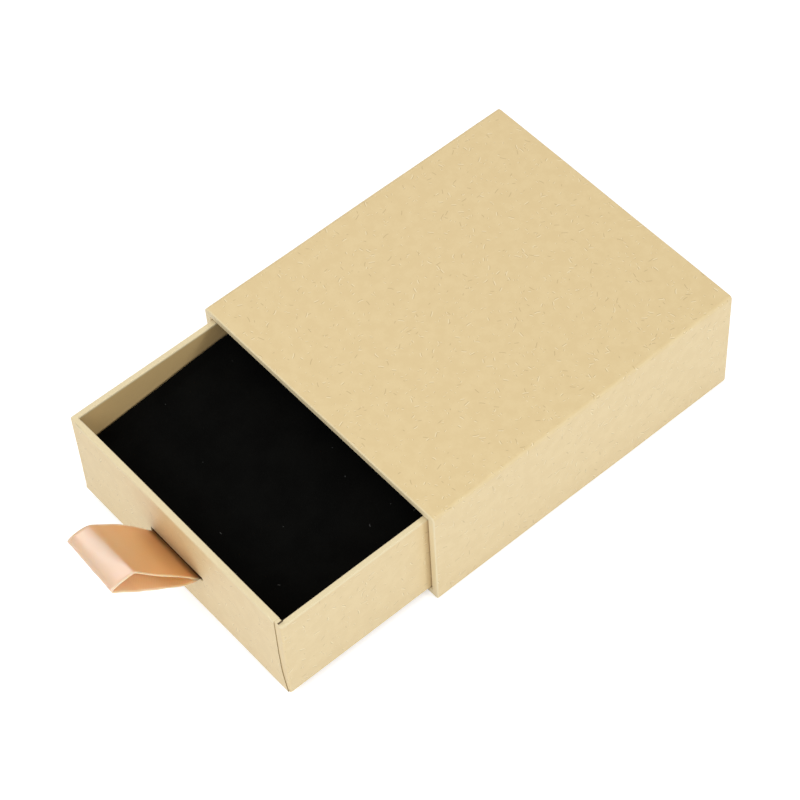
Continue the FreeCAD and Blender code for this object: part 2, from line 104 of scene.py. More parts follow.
# %% [markdown]
# ## Shader maths in Python
# A material is a graph of nodes. Written by hand, even `1 - mask` takes a node, two links and a
# number, so a small class wraps a socket and lets Python's own operators add the Math nodes. All
# nodes come from one method of the graph, which sets a node's options first and then its sockets.

# %% A socket that can be added and multiplied
class Wire:
    """An output of a node. Arithmetic on it adds the Math nodes that work it out."""

    def __init__(self, graph, socket):
        self.graph = graph
        self.socket = socket

    def math(self, operation, *values):
        sockets = dict(enumerate(values))
        return self.graph.node("ShaderNodeMath", {"operation": operation}, sockets)["Value"]

    def __add__(self, other):
        return self.math("ADD", self, other)

    def __radd__(self, other):
        return self.math("ADD", other, self)

    def __sub__(self, other):
        return self.math("SUBTRACT", self, other)

    def __rsub__(self, other):
        return self.math("SUBTRACT", other, self)

    def __mul__(self, other):
        return self.math("MULTIPLY", self, other)

    def __rmul__(self, other):
        return self.math("MULTIPLY", other, self)

    def __abs__(self):
        return self.math("ABSOLUTE", self)

    def fraction(self):
        return self.math("FRACT", self)

    def sine(self):
        return self.math("SINE", self)

    def cosine(self):
        return self.math("COSINE", self)

    def larger(self, other):
        return self.math("MAXIMUM", self, other)

    def over(self, edge):
        """1 where the value is more than the edge, else 0."""
        return self.math("GREATER_THAN", self, edge)

    def rise(self, low, high):
        """0 up to low, 1 from high on, and a smooth step between; high may be the lower one."""
        settings = {"interpolation_type": "SMOOTHSTEP"}
        sockets = {"Value": self, 1: low, 2: high}
        return self.graph.node("ShaderNodeMapRange", settings, sockets)["Result"]


# %% A graph that adds nodes
class Graph:
    """The node tree of one material or of the world."""

    def __init__(self, tree):
        self.tree = tree
        tree.nodes.clear()

    def node(self, kind, settings=None, sockets=None):
        """Add a node: its settings, then its sockets by name or number. Returns its outputs."""
        node = self.tree.nodes.new(kind)
        for name, value in (settings or {}).items():
            setattr(node, name, value)
        for key, value in (sockets or {}).items():
            target = self.find(node.inputs, key)
            if isinstance(value, Wire):
                self.tree.links.new(value.socket, target)
            elif target.type == "RGBA" and len(value) == 3:
                target.default_value = (*value, 1)
            else:
                target.default_value = value
        outputs = {socket.name: Wire(self, socket) for socket in node.outputs}
        outputs.update({socket.identifier: Wire(self, socket) for socket in node.outputs})
        return outputs

    @staticmethod
    def find(sockets, key):
        if isinstance(key, int):
            return sockets[key]
        for socket in sockets:
            if socket.identifier == key:
                return socket
        return sockets[key]

    def split(self, vector):
        parts = self.node("ShaderNodeSeparateXYZ", None, {0: vector})
        return parts["X"], parts["Y"], parts["Z"]

    def join(self, x, y):
        """A flat place from its two coordinates."""
        return self.node("ShaderNodeCombineXYZ", None, {0: x, 1: y})["Vector"]

    def shift(self, vector, offset):
        sockets = {0: vector, 1: offset}
        return self.node("ShaderNodeVectorMath", {"operation": "ADD"}, sockets)["Vector"]

    def place(self):
        """The point's place in object space, in metres."""
        return self.node("ShaderNodeTexCoord")["Object"]

    def place_in_mm(self):
        """The same place as X, Y and Z in millimetres."""
        return [value * MM_PER_METRE for value in self.split(self.place())]

    def facing(self):
        """X, Y and Z of the direction that the surface faces, in object space."""
        return self.split(self.node("ShaderNodeTexCoord")["Normal"])

    def mix(self, amount, first, second):
        """Blend two colours by an amount from 0 to 1."""
        sockets = {"Factor_Float": amount, "A_Color": first, "B_Color": second}
        return self.node("ShaderNodeMix", {"data_type": "RGBA"}, sockets)["Result_Color"]

    def clouds(self, vector, scale, detail, roughness):
        """Soft noise from 0 to 1."""
        sockets = {"Vector": vector, "Scale": scale, "Detail": detail, "Roughness": roughness}
        return self.node("ShaderNodeTexNoise", None, sockets)["Fac"]

    def bump(self, height, strength, distance):
        sockets = {"Height": height, "Strength": strength, "Distance": distance}
        return self.node("ShaderNodeBump", None, sockets)["Normal"]

    def principled(self, **sockets):
        """A Principled surface; an underscore in a name stands for a space."""
        names = {name.replace("_", " "): value for name, value in sockets.items()}
        return self.node("ShaderNodeBsdfPrincipled", None, names)["BSDF"]

    def output(self, surface):
        self.node("ShaderNodeOutputMaterial", None, {"Surface": surface})

    def finish(self, **sockets):
        """One Principled surface as the whole material."""
        self.output(self.principled(**sockets))


def new_graph(name):
    """A new material and its empty graph."""
    material = bpy.data.materials.new(name)
    material.use_nodes = True
    return material, Graph(material.node_tree)


# %% [markdown]
# ## Kraft paper
# Kraft paper is unbleached, so its long fibres show: pale and dark strands of about a millimetre,
# lying every way in the plane of the sheet, over a soft cloudy tone. An image of paper could be
# wrapped round the box, but it would repeat and stretch. Here each strand is one cell of a Voronoi
# pattern: the cell's random colour gives the strand its turn, bend and length.
# The pattern has to lie flat on every side of the box, so the flat coordinates of each side are
# chosen by which way the surface faces.

# %% Flat coordinates on a box
SIDE_SHIFT, END_SHIFT = 211, 467


def sheet_plane(graph):
    """Millimetres across and along the nearest flat side, and 1 on the flats but 0 at a fold.

    The sides and the ends are shifted, so that each shows a stretch of the pattern of its own.
    """
    x, y, z = graph.split(graph.place())
    facing = [abs(part) for part in graph.facing()]
    side = facing[X].over(facing[Y].larger(facing[Z]))
    end = facing[Y].over(facing[X].larger(facing[Z]))
    across = (x + side * (y - x)) * MM_PER_METRE + side * SIDE_SHIFT + end * END_SHIFT
    along = (y + (side + end) * (z - y)) * MM_PER_METRE
    flatness = facing[X].larger(facing[Y]).larger(facing[Z])
    return graph.join(across, along), flatness.rise(0.75, 0.95)


# %% Strands, one to a cell
LAYER_SHIFT = (17.3, 9.1)
MOST_BEND = 0.9
SHORTEST = 0.25
TIP_FADE = 0.18
SOFT_FLANK = 0.35
SHADE_OFFSET = 1.3
RESHUFFLE = 37.7


def strands(graph, plane, spacing, longest, width, share, salt):
    """One layer's strands, and a thin painted shade along one side of each. Lengths in millimetres.
    """
    moved = graph.shift(plane, (salt * LAYER_SHIFT[0], salt * LAYER_SHIFT[1], 0))
    settings = {"voronoi_dimensions": "2D"}
    sockets = {"Vector": moved, "Scale": 1 / spacing}
    cells = graph.node("ShaderNodeTexVoronoi", settings, sockets)
    sockets = {0: moved, 1: cells["Position"]}
    away = graph.node("ShaderNodeVectorMath", {"operation": "SUBTRACT"}, sockets)["Vector"]
    x, y, _ = graph.split(away)
    turn_chance, bend_chance, length_chance = graph.split(cells["Color"])
    turn = turn_chance * math.tau
    cosine, sine = turn.cosine(), turn.sine()
    along = x * cosine + y * sine
    across = y * cosine - x * sine
    bowed = across - (bend_chance - 0.5) * (MOST_BEND / longest) * (along * along)
    reach = (length_chance * (1 - SHORTEST) + SHORTEST) * (longest / 2)
    in_reach = (reach - abs(along)).rise(0, longest * TIP_FADE)
    drawn = 1 - (turn_chance * RESHUFFLE).fraction().over(share)
    shown = in_reach * drawn
    core = abs(bowed).rise(width, width * SOFT_FLANK) * shown
    shade = abs(bowed - width * SHADE_OFFSET).rise(width, width * SOFT_FLANK) * shown
    return core, shade


# %% [markdown]
# ### Where the tone changes
# One roll of paper covers the whole box, yet it isn't one tone. Inside, where less light reaches,
# it is painted browner: a painted shade. A folded rim and the sleeve's mouth lip are painted paler,
# painted light for the light they catch, and a cut edge is painted darker, a painted shade for the
# crevices it stands in. Each tone could be a piece of its own, but the sheet runs on without a
# break, so a mask in object space changes the tone of one material. A slight
# sheen stands for the loose fibres that whiten the paper at a slant.

# %% The paper itself
KRAFT = (0.752, 0.566, 0.272)
KRAFT_PALE = (0.782, 0.598, 0.300)
KRAFT_DEEP = (0.720, 0.532, 0.250)
# Painted light: this paler tone is painted on the drawer's rim and the sleeve's mouth lip.
KRAFT_PAINTED_LIGHT = (0.782, 0.645, 0.375)
# Painted shade: this browner, darker tone is painted inside the boxes, where less light reaches.
KRAFT_INSIDE_SHADE = (0.615, 0.405, 0.150)
FIBRE_PALE = (0.930, 0.780, 0.480)
FIBRE_DARK_AND_SHADE = (0.400, 0.260, 0.100)
MASK_EDGE = 0.05
INSIDE_SHADE_SHARE, PAINTED_LIGHT_SHARE = 0.9, 0.85


def within(graph, low, high):
    """1 inside a box of object space, given in millimetres, and 0 outside it."""
    mask = 1
    for value, start, end in zip(graph.place_in_mm(), low, high):
        mask = value.rise(start - MASK_EDGE, start + MASK_EDGE) * mask
        mask = value.rise(end + MASK_EDGE, end - MASK_EDGE) * mask
    return mask


def kraft_paper(name, tone=KRAFT, pale=KRAFT_PALE, deep=KRAFT_DEEP, inner=None, painted_light_zone=None):
    """Kraft paper, painted browner as a painted shade within the inner box, given by two corners in
    mm.

    The painted light zone is an axis and two places on it, in mm, where painted light starts and is
    full.
    """
    material, graph = new_graph(name)
    plane, flat = sheet_plane(graph)
    clouds = graph.clouds(plane, scale=0.35, detail=3, roughness=0.55)
    grain = graph.clouds(plane, scale=2.4, detail=2, roughness=0.6)
    colour = graph.mix(clouds.rise(0.38, 0.66), deep, pale)
    colour = graph.mix(0.55, colour, tone)
    colour = graph.mix(grain.rise(0.25, 0.85) * 0.28, colour, deep)
    dark, _ = strands(graph, plane, spacing=2.6, longest=1.8, width=0.12, share=0.30, salt=1)
    light, light_shade = strands(
        graph, plane, spacing=2.4, longest=1.6, width=0.13, share=0.34, salt=2)
    fine, fine_shade = strands(
        graph, plane, spacing=1.15, longest=0.75, width=0.10, share=0.30, salt=3)
    # Dark strands, and the painted shade beside the pale ones, both take the dark fibre tone.
    dark_and_shade = (dark * 0.44).larger(light_shade * 0.42).larger(fine_shade * 0.36)
    colour = graph.mix(dark_and_shade, colour, FIBRE_DARK_AND_SHADE)
    colour = graph.mix((light * 0.66).larger(fine * 0.55), colour, FIBRE_PALE)
    # Painted shade: the paper is painted browner inside the boxes, where less light reaches.
    if inner:
        colour = graph.mix(within(graph, *inner) * INSIDE_SHADE_SHARE, colour, KRAFT_INSIDE_SHADE)
    # Painted light: the rim and the mouth's lip are painted paler, for the light they catch.
    if painted_light_zone:
        axis, start, full = painted_light_zone
        painted_light = graph.place_in_mm()[axis].rise(start, full)
        colour = graph.mix(painted_light * PAINTED_LIGHT_SHARE, colour, KRAFT_PAINTED_LIGHT)
    height = grain * 0.5 + light * 0.9 + fine * 0.5 + dark * 0.6
    graph.finish(
        Base_Color=colour, Roughness=0.50 + grain * 0.12, Specular_IOR_Level=0.65,
        Sheen_Weight=0.12, Sheen_Roughness=0.5,
        Normal=graph.bump(height * flat, 0.28, 0.03 * MM),
    )
    print("material", name)
    return material


def turned_in(node, low_margin, high_margin):
    """The inside of a covered box in millimetres: its outer box less a margin for each wall."""
    low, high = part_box(node)
    return low / MM + Vector(low_margin), high / MM - Vector(high_margin)


# %% Kraft for linings and sheets, for the sleeve, for the drawer, and for the tapes
# Where the painted light on the sleeve's lip and the drawer's rim starts and is full, in mm.
MOUTH_LIGHT_START, RIM_LIGHT_START, PAINTED_LIGHT_FULL = 0.5, 0.7, 0.1
TAPE_TONES = ((0.42, 0.27, 0.13), (0.50, 0.34, 0.18), (0.36, 0.22, 0.10))
kraft = kraft_paper("kraft_paper")
mouth, tray_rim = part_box("sleeve_wrap")[0].y / MM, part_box("drawer_wrap")[1].z / MM
sleeve_kraft = kraft_paper(
    "kraft_sleeve", inner=turned_in("sleeve_wrap", (1.5, 0.4, 1.5), (1.5, 1.5, 1.5)),
    painted_light_zone=(Y, mouth + MOUTH_LIGHT_START, mouth + PAINTED_LIGHT_FULL),
)
drawer_kraft = kraft_paper(
    "kraft_drawer", inner=turned_in("drawer_wrap", (1, 1, 1), (1, 1, 0.4)),
    painted_light_zone=(Z, tray_rim - RIM_LIGHT_START, tray_rim - PAINTED_LIGHT_FULL),
)
tape_paper = kraft_paper("gummed_tape", *TAPE_TONES)

# %% [markdown]
# ## Greyboard, foam and the paper's cut edge
# Greyboard is pulped waste paper: grey-brown, with flecks of every shade. The foam is an open
# sponge, dyed black. Both are nearly always covered, so their materials are short. A cut edge of
# kraft paper is only as wide as the paper is thick, so a cloudy tone is enough for it. That tone is
# painted darker than the paper: a painted shade for the crevices where cut edges stand.

# %% Greyboard, foam and cut edge
PULP_DARK, PULP_PALE, PULP_FLECK = (0.11, 0.075, 0.042), (0.19, 0.135, 0.08), (0.12, 0.10, 0.09)
FOAM_DARK, FOAM_PALE = (0.006, 0.006, 0.006), (0.03, 0.03, 0.03)
# Painted shade: the cut edge's tones are darker than the paper, for the crevices it stands in.
EDGE_SHADE_DARK, EDGE_SHADE_PALE = (0.50, 0.36, 0.17), (0.62, 0.46, 0.23)


def greyboard():
    material, graph = new_graph("greyboard")
    plane, flat = sheet_plane(graph)
    pulp = graph.clouds(plane, scale=1.3, detail=4, roughness=0.65)
    flecks, _ = strands(graph, plane, spacing=1.1, longest=0.7, width=0.10, share=0.6, salt=5)
    colour = graph.mix(pulp.rise(0.3, 0.7), PULP_DARK, PULP_PALE)
    colour = graph.mix(flecks * 0.6, colour, PULP_FLECK)
    graph.finish(
        Base_Color=colour, Roughness=0.9, Specular_IOR_Level=0.1,
        Normal=graph.bump(pulp * flat, 0.4, 0.05 * MM),
    )
    return material


def foam():
    material, graph = new_graph("foam")
    sockets = {"Vector": graph.place(), "Scale": 1400}
    cells = graph.node("ShaderNodeTexVoronoi", None, sockets)["Distance"]
    colour = graph.mix(cells, FOAM_DARK, FOAM_PALE)
    graph.finish(Base_Color=colour, Roughness=0.95, Normal=graph.bump(cells, 0.6, 0.2 * MM))
    return material


def shaded_cut_edge():
    """A cut edge of kraft paper: painted darker, a painted shade for the crevices it stands in, and
    dull.
    """
    material, graph = new_graph("kraft_edge_shade")
    plane, _ = sheet_plane(graph)
    fibres = graph.clouds(plane, scale=3.0, detail=3, roughness=0.6)
    colour = graph.mix(fibres, EDGE_SHADE_DARK, EDGE_SHADE_PALE)
    graph.finish(Base_Color=colour, Roughness=0.9, Specular_IOR_Level=0.1)
    return material


board = greyboard()
sponge = foam()
painted_shade_edge = shaded_cut_edge()
print("materials", board.name, sponge.name, painted_shade_edge.name)

# %% [markdown]
# ## Velvet
# Jewellery velvet has a short dense pile. It looks blacker than any paint because light is lost
# between the hairs, and only the tips catch a little at a glancing angle. That is what the sheen
# lobe of the shader is for, kept low here, over a nearly black base whose pile leans in patches.
# A few specks of lint lie on it, as they do on any velvet: they are strands, short and far apart.

# %% Velvet
PILE_DEEP, PILE_LEANING = (0.0024, 0.0023, 0.0019), (0.0034, 0.0033, 0.0027)
PILE_TIP, LINT = (0.010, 0.010, 0.009), (0.12, 0.12, 0.11)


def velvet():
    material, graph = new_graph("velvet")
    place = graph.place()
    plane, _ = sheet_plane(graph)
    nap = graph.clouds(place, scale=160, detail=3, roughness=0.6)
    pile = graph.clouds(place, scale=6000, detail=2, roughness=0.7)
    lint, _ = strands(graph, plane, spacing=8.0, longest=0.9, width=0.07, share=0.35, salt=6)
    colour = graph.mix(nap.rise(0.30, 0.70), PILE_DEEP, PILE_LEANING)
    colour = graph.mix(pile.rise(0.55, 0.8) * 0.5, colour, PILE_TIP)
    colour = graph.mix(lint * 0.6, colour, LINT)
    graph.finish(
        Base_Color=colour, Roughness=0.95, Specular_IOR_Level=0.02,
        Sheen_Weight=0.02, Sheen_Roughness=0.4, Sheen_Tint=(0.6, 0.6, 0.65),
        Normal=graph.bump(pile, 0.8, 0.08 * MM),
    )
    return material


plush = velvet()
print("material", plush.name)

# %% [markdown]
# ## Satin ribbon
# Satin is woven so that long warp threads float on the face. They run along the ribbon and shine
# across it. Two narrow selvedges of plain weave finish its edges, and these are a little paler and
# raised. The pattern follows the strip round its folds, so it reads the strip's own UV map, whose
# units are millimetres: U across the ribbon, V along it.
# Two tones keep to a place instead. The flat band beyond the crease, where it faces up, is painted
# paler: a painted highlight for the shine that the fold catches. At the slot the cloth goes in
# between two papers and loses all its light, so it darkens there to a dull brown, a painted shade.
# Both are measured outwards from the drawer's front.

# %% Satin
RIBBON_WIDTH = 15.0
SELVEDGE_STARTS, SELVEDGE_FULL = 0.30, 0.45
PICK_SPACING, TWILL_SPACING = 0.22, 0.75
# Where the painted highlight on the band starts and is full, in millimetres out from the front.
HIGHLIGHT_STARTS, HIGHLIGHT_FULL = 13.2, 13.9
FACES_DOWN, FACES_UP = -0.5, 0.2
SATIN_SHINE = (0.86, 0.54, 0.26)
SATIN_PAINTED_HIGHLIGHT = (0.73, 0.505, 0.315)
SELVEDGE = (0.90, 0.66, 0.44)
SLOT_SHADE = (0.085, 0.028, 0.006)


def slot_shadow(out):
    """How dark the cloth is, by millimetres out: nearly full at the slot, and nothing from 2.2."""
    return (out.rise(0.5, 0.1) * 0.95).larger(out.rise(2.2, 0.0) * 0.6)


def satin(name, deep, pale, gloss):
    """One face of the ribbon: its two warp tones, and how much of the full gloss it has."""
    material, graph = new_graph(name)
    across, along, _ = graph.split(graph.node("ShaderNodeUVMap", {"uv_map": "weave"})["UV"])
    half = RIBBON_WIDTH / 2
    edge = abs(across - half).rise(half - SELVEDGE_FULL, half - SELVEDGE_STARTS)
    threads, wrinkles = graph.join(across * 9, along * 0.35), graph.join(across * 0.9, along * 1.3)
    warp = graph.clouds(threads, scale=1.0, detail=3, roughness=0.6)
    crinkle = graph.clouds(wrinkles, scale=1.0, detail=2, roughness=0.5)
    pick = (along * (math.tau / PICK_SPACING) + across * 4.0).sine()
    twill = (along * (math.tau / TWILL_SPACING) + across * (math.tau / TWILL_SPACING)).sine()
    tone = graph.mix(warp.rise(0.2, 0.8) * 0.35, deep, pale)
    tone = graph.mix(twill.rise(0.2, 1.0) * 0.2, tone, SATIN_SHINE)
    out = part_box("drawer_wrap")[0].y / MM - graph.place_in_mm()[Y]
    # Painted highlight: the up-facing band beyond the crease is painted paler.
    highlight_band = out.rise(HIGHLIGHT_STARTS, HIGHLIGHT_FULL) * graph.facing()[Z].rise(FACES_DOWN, FACES_UP)
    tone = graph.mix(highlight_band * (0.85 * gloss), tone, SATIN_PAINTED_HIGHLIGHT)
    tone = graph.mix(edge * 0.55, tone, SELVEDGE)
    height = crinkle * 5.0 + warp * 0.06 + pick * 0.2 + twill * 0.15 + edge * 0.4
    cloth = graph.principled(
        Base_Color=tone, Roughness=0.52 - 0.19 * gloss + warp * 0.04,
        Specular_IOR_Level=0.8 * gloss, IOR=1.9,
        Subsurface_Weight=0.90, Subsurface_Radius=(1.0, 0.60, 0.35), Subsurface_Scale=0.7 * MM,
        Sheen_Weight=0.20, Sheen_Roughness=0.35, Sheen_Tint=(1.0, 0.80, 0.66),
        Normal=graph.bump(height, 0.1, 0.03 * MM),
    )
    dull = graph.principled(Base_Color=SLOT_SHADE, Roughness=1.0, Specular_IOR_Level=0.0)
    sockets = {0: slot_shadow(out), 1: cloth, 2: dull}
    graph.output(graph.node("ShaderNodeMixShader", None, sockets)["Shader"])
    return material


silk = satin("satin_ribbon", deep=(0.735, 0.382, 0.126), pale=(0.82, 0.460, 0.178), gloss=1.0)
# The back face is painted paler than the front: painted light for the glow through the thin cloth.
silk_back_glow = satin("satin_back_glow", deep=(0.93, 0.620, 0.380), pale=(0.96, 0.690, 0.440), gloss=0.3)
print("materials", silk.name, silk_back_glow.name)

# %% [markdown]
# ## The CAD pieces that stay
# Boards, tapes, stays, lining, sheets and foam have the right shape already, so each one only
# takes the material of its slot. The loop goes over every node, so the four that are made again
# further down are dressed too.

# %% Dress the kept nodes
SLOT_MATERIALS = {
    "greyboard": board, "gummed_tape": tape_paper, "kraft_paper": kraft, "kraft_lining": kraft,
    "foam": sponge, "velvet": plush, "satin_ribbon": silk,
}
for part in frame["record"]["subparts"]:
    node = frame["nodes"][part["node"]]
    node.data.materials.clear()
    node.data.materials.append(SLOT_MATERIALS[part["material_slot"]])

# %% [markdown]
# ## Helpers for paper work
# A covered box starts as a cube the size of the CAD piece. Small operators then do what the box
# maker does: open it, fold paper in over the board's edge, and soften each fold.

# %% Small mesh tools
def unit(axis):
    """The direction of one axis."""
    direction = Vector((0, 0, 0))
    direction[axis] = 1
    return direction


def cube_between(low, high):
    """A bmesh with one cube that fills the box between two corners."""
    mesh = bmesh.new()
    middle, extent = (low + high) / 2, high - low
    matrix = Matrix.Translation(middle) @ Matrix.Diagonal((*extent, 1))
    bmesh.ops.create_cube(mesh, size=1, matrix=matrix)
    return mesh


def on_plane(item, axis, value):
    """Whether every vertex of an edge or face lies at a value of one axis."""
    return all(abs(vertex.co[axis] - value) < NEAR for vertex in item.verts)


def round_edges(mesh, edges, radius, segments=4):
    bmesh.ops.bevel(mesh, geom=edges, offset=radius, offset_type="OFFSET", segments=segments,
                    profile=0.5, affect="EDGES", clamp_overlap=True, material=-1)


def slice_mesh(mesh, axis, low, high, step):
    """Cut right across the mesh at even places, so that it can bend there."""
    count = max(1, round((high - low) / step))
    for i in range(1, count):
        spot = unit(axis) * (low + (high - low) * i / count)
        everything = mesh.verts[:] + mesh.edges[:] + mesh.faces[:]
        bmesh.ops.bisect_plane(mesh, geom=everything, dist=HAIR,
                               plane_co=spot, plane_no=unit(axis))


# %% [markdown]
# ### Made by hand
# No hand-covered panel is quite flat. Every vertex is moved by smooth noise, by a tenth of a
# millimetre or so, over a length that suits the material. The noise takes its offsets from the
# clock unless a seed is set, so one is set, and every run gives the same shapes.

# %% Unevenness, and the step from mesh to piece
NOISE_SEED = 7
noise.seed_set(NOISE_SEED)


def hand_made(mesh, depth, length, salt, level=None):
    """Move each vertex by smooth noise. Those at the level that something slides on stay at it."""
    for vertex in mesh.verts:
        slides = level is not None and abs(vertex.co.z - level) < NEAR
        place = vertex.co / length + Vector((salt, salt * 1.7, -salt))
        vertex.co += noise.noise_vector(place, noise_basis="PERLIN_ORIGINAL") * depth
        if slides:
            vertex.co.z = level


def finish_piece(mesh, name, body, material, thickness, lining=None, edge=None):
    """Turn a bmesh into a piece that rides on a body, with its thickness inwards."""
    data = bpy.data.meshes.new(name)
    mesh.to_mesh(data)
    mesh.free()
    data.materials.append(material)
    data.polygons.foreach_set("use_smooth", [True] * len(data.polygons))
    piece = bpy.data.objects.new(name, data)
    bpy.context.collection.objects.link(piece)
    wall = piece.modifiers.new("wall", "SOLIDIFY")
    wall.thickness = thickness
    wall.offset = -1
    if lining or edge:
        data.materials.append(lining or edge)
        wall.material_offset = 1 if lining else 0
        wall.material_offset_rim = 1
    normals = piece.modifiers.new("flat_sides", "WEIGHTED_NORMAL")
    normals.keep_sharp = True
    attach(piece, body)
    print(f"{name}: {len(data.polygons)} faces on {body}")
    return piece


# %% [markdown]
# ## The sleeve's covering paper
# One sheet goes round the four walls, closes over the back, and turns in 12 mm at the mouth. It
# could be a plain shell, but the eye reads the quality of such a box from its edges. The two upper
# long edges are rounded by nearly a millimetre, the board's own rounding under paper. The two at
# the foot are half as round, and so is the fold at the back. At the mouth the paper goes round the
# board's end, widely outside and tightly inside. So each kind of edge is bevelled apart, with its
# own radius.

# %% Open boxes and their folds
TOP_EDGE_ROUND = 0.85 * MM
FOOT_EDGE_ROUND = 0.40 * MM
BACK_FOLD = 0.45 * MM
MOUTH_FOLD = 0.85 * MM
MOUTH_INNER_FOLD = 0.45 * MM
SLEEVE_TURN_IN = 12 * MM
PANEL_STEP = 5 * MM


def open_box(low, high, axis, side, wall, turn_in):
    """A box open at one side, with a lip as wide as the wall and the paper turned in from it."""
    mesh = cube_between(low, high)
    level = (low, high)[side][axis]
    inward = (1, -1)[side] * turn_in
    opening = [face for face in mesh.faces if on_plane(face, axis, level)]
    bmesh.ops.inset_region(mesh, faces=opening, thickness=wall, use_even_offset=True)
    turned = bmesh.ops.extrude_face_region(mesh, geom=opening)["geom"]
    deep_end = [item for item in turned if isinstance(item, bmesh.types.BMVert)]
    bmesh.ops.translate(mesh, verts=deep_end, vec=unit(axis) * inward)
    caps = [face for face in turned if isinstance(face, bmesh.types.BMFace)]
    caps = [face for face in caps if on_plane(face, axis, level + inward)]
    bmesh.ops.delete(mesh, geom=caps + opening, context="FACES_ONLY")
    return mesh


def lip_edges(mesh, axis, level, depth):
    """The lip's outer and inner edges: the inner ones belong to a face of the turn-in."""
    lips = [edge for edge in mesh.edges if on_plane(edge, axis, level)
            and any(not on_plane(face, axis, level) for face in edge.link_faces)]
    middle = level + depth / 2
    inner = [edge for edge in lips
             if any(abs(face.calc_center_median()[axis] - middle) < ABOUT
                    for face in edge.link_faces)]
    return [edge for edge in lips if edge not in inner], inner


def edges_along(mesh, low, high, axis):
    """The edges that run along one axis at the outer corners of a box."""
    middle, half = (low + high) / 2, (high - low) / 2
    across = [other for other in (X, Y, Z) if other != axis]
    found = []
    for edge in mesh.edges:
        a, b = (vertex.co for vertex in edge.verts)
        runs = all(abs(a[other] - b[other]) < HAIR for other in across)
        outside = [abs(a[other] - middle[other]) - half[other] for other in across]
        if runs and all(abs(gap) < NEAR for gap in outside):
            found.append(edge)
    return found


def round_lip(mesh, axis, level, depth, outer_round, inner_round):
    """Round a lip's outer edges, and then its inner ones, which are looked for afresh."""
    round_edges(mesh, lip_edges(mesh, axis, level, depth)[0], outer_round)
    round_edges(mesh, lip_edges(mesh, axis, level, depth)[1], inner_round)


# %% Sleeve paper
def sleeve_paper():
    low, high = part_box("sleeve_wrap")
    wall = high.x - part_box("sleeve_right_board")[0].x + PAPER
    mesh = open_box(low, high, Y, 0, wall, SLEEVE_TURN_IN)
    long_edges = edges_along(mesh, low, high, Y)
    middle = (low.z + high.z) / 2
    upper = [edge for edge in long_edges if edge.verts[0].co.z > middle]
    foot = [edge for edge in long_edges if edge not in upper]
    round_edges(mesh, upper, TOP_EDGE_ROUND, 6)
    round_edges(mesh, foot, FOOT_EDGE_ROUND)
    print("long edges", len(upper), "above,", len(foot), "at the foot")
    round_edges(mesh, [edge for edge in mesh.edges if on_plane(edge, Y, high.y)], BACK_FOLD)
    round_lip(mesh, Y, low.y, SLEEVE_TURN_IN, MOUTH_FOLD, MOUTH_INNER_FOLD)
    for axis in (X, Y, Z):
        slice_mesh(mesh, axis, low[axis], high[axis], PANEL_STEP)
    hand_made(mesh, depth=0.07 * MM, length=22 * MM, salt=3.1, level=low.z + wall)
    piece = finish_piece(mesh, "sleeve_paper", "sleeve", sleeve_kraft, PAPER)
    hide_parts("sleeve_wrap")


sleeve_paper()

# %% [markdown]
# ## The drawer's covering paper
# The drawer's sheet comes up the four walls, over the rim, and 10 mm down inside. At the front and
# the back, an end flap is folded up last over the ends of the side flaps. It stops a little short
# of the upright corners, and its cut edge shows there as a fine dark line, which a glued edge never
# makes quite straight. So each end flap is a sheet of its own, lifted a hair where the glue missed
# it. Two kinds of cut go through the paper: the slot for the ribbon, and small nicks at the inner
# corners of the rim, where two flaps meet and leave the board bare. Three corners have a nick, and
# at the fourth the flaps have closed over it.

# %% Sizes of the drawer's paper
DRAWER_CORNER_ROUND = 0.5 * MM
DRAWER_FOLD = 0.3 * MM
DRAWER_INNER_FOLD = 0.25 * MM
DRAWER_TURN_IN = 10 * MM
SLOT_SIDE = 0.7 * MM
SLOT_RISE, SLOT_DROP = 0.5 * MM, 0.7 * MM
SLOT_LIFT = 11.6 * MM
NICK_WIDTH, NICK_LENGTH, NICK_DEPTH = 0.38 * MM, 1.25 * MM, 0.9 * MM
NICK_SET = 0.3 * MM
END_TAB = 2.2 * MM
tray_low, tray_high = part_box("drawer_wrap")
ribbon_low, ribbon_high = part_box("ribbon_pull")
SLOT_LEFT, SLOT_RIGHT = ribbon_low.x - SLOT_SIDE, ribbon_high.x + SLOT_SIDE
SLOT_Z = tray_low.z + SLOT_LIFT
print("tray", [round(size / MM, 1) for size in tray_high - tray_low], "mm")

# %% Cuts through paper
def overlaps(face, low, high):
    """Whether a face's own box reaches into the box between two corners."""
    for axis in (X, Y, Z):
        places = [vertex.co[axis] for vertex in face.verts]
        if max(places) < low[axis] or min(places) > high[axis]:
            return False
    return True


def cut_opening(mesh, low, high):
    """Cut away what lies in the box between two corners."""
    for axis in (X, Y, Z):
        for corner in (low, high):
            geometry = set()
            for face in mesh.faces:
                if overlaps(face, low, high):
                    geometry.update([face, *face.verts, *face.edges])
            bmesh.ops.bisect_plane(mesh, geom=list(geometry), dist=HAIR,
                                   plane_co=corner, plane_no=unit(axis))
    gone = []
    for face in mesh.faces:
        middle = face.calc_center_median()
        if all(low[axis] < middle[axis] < high[axis] for axis in (X, Y, Z)):
            gone.append(face)
    bmesh.ops.delete(mesh, geom=gone, context="FACES")
    print("opening cut from", len(gone), "faces")


def cut_slot(mesh):
    """The slot that the ribbon comes out of, a little wider and higher than the ribbon's runs."""
    low = Vector((SLOT_LEFT, tray_low.y - PAPER, SLOT_Z - SLOT_DROP))
    high = Vector((SLOT_RIGHT, tray_low.y + 2 * PAPER, SLOT_Z + SLOT_RISE))
    cut_opening(mesh, low, high)


